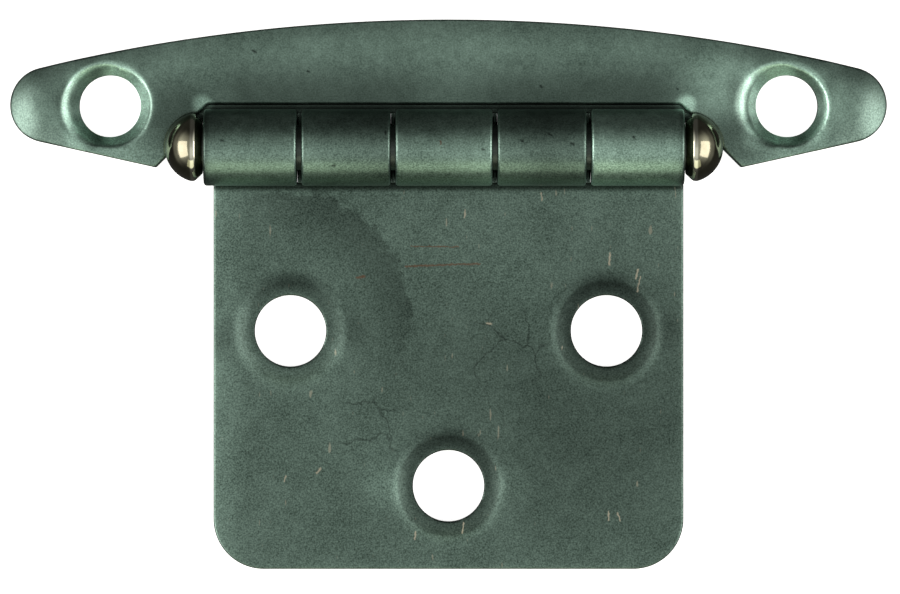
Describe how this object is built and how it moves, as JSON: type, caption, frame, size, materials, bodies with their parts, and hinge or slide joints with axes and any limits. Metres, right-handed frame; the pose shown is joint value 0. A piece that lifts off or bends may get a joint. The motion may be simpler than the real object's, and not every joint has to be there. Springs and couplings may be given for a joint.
{
  "type": "cabinet hinge",
  "caption": "Cabinet hinge with a long decorative wing, a flat door leaf, a rolled knuckle barrel and a pin with button tips, in satin smoke-grey metal.",
  "frame": {"origin": "on the plane of the back, straight behind the middle of the pin's length, on the wing's back strap", "axes": "+X along the pin, +Y from the pin towards the wing for the face frame, +Z out of the back plane towards the viewer"},
  "size_m": [0.07, 0.0438, 0.0061],
  "materials": {
    "satin_sheet": "pressed steel sheet with a satin grey-green smoke plating, lightly worn",
    "pin_steel": "drawn steel rod, plain",
    "polished_tip": "turned steel, polished nickel plate with a warm tint"
  },
  "bodies": {
    "wing": {"frame_wing": "satin_sheet", "hinge_pin": "pin_steel", "left_pin_tip": "polished_tip", "right_pin_tip": "polished_tip"},
    "leaf": {"door_leaf": "satin_sheet"}
  },
  "joints": [
    {"name": "leaf_swing", "type": "hinge", "parent": "wing", "child": "leaf", "pos_m": [0, 0, 0.00305], "axis": [-1, 0, 0], "range_deg": [0, 180]}
  ]
}
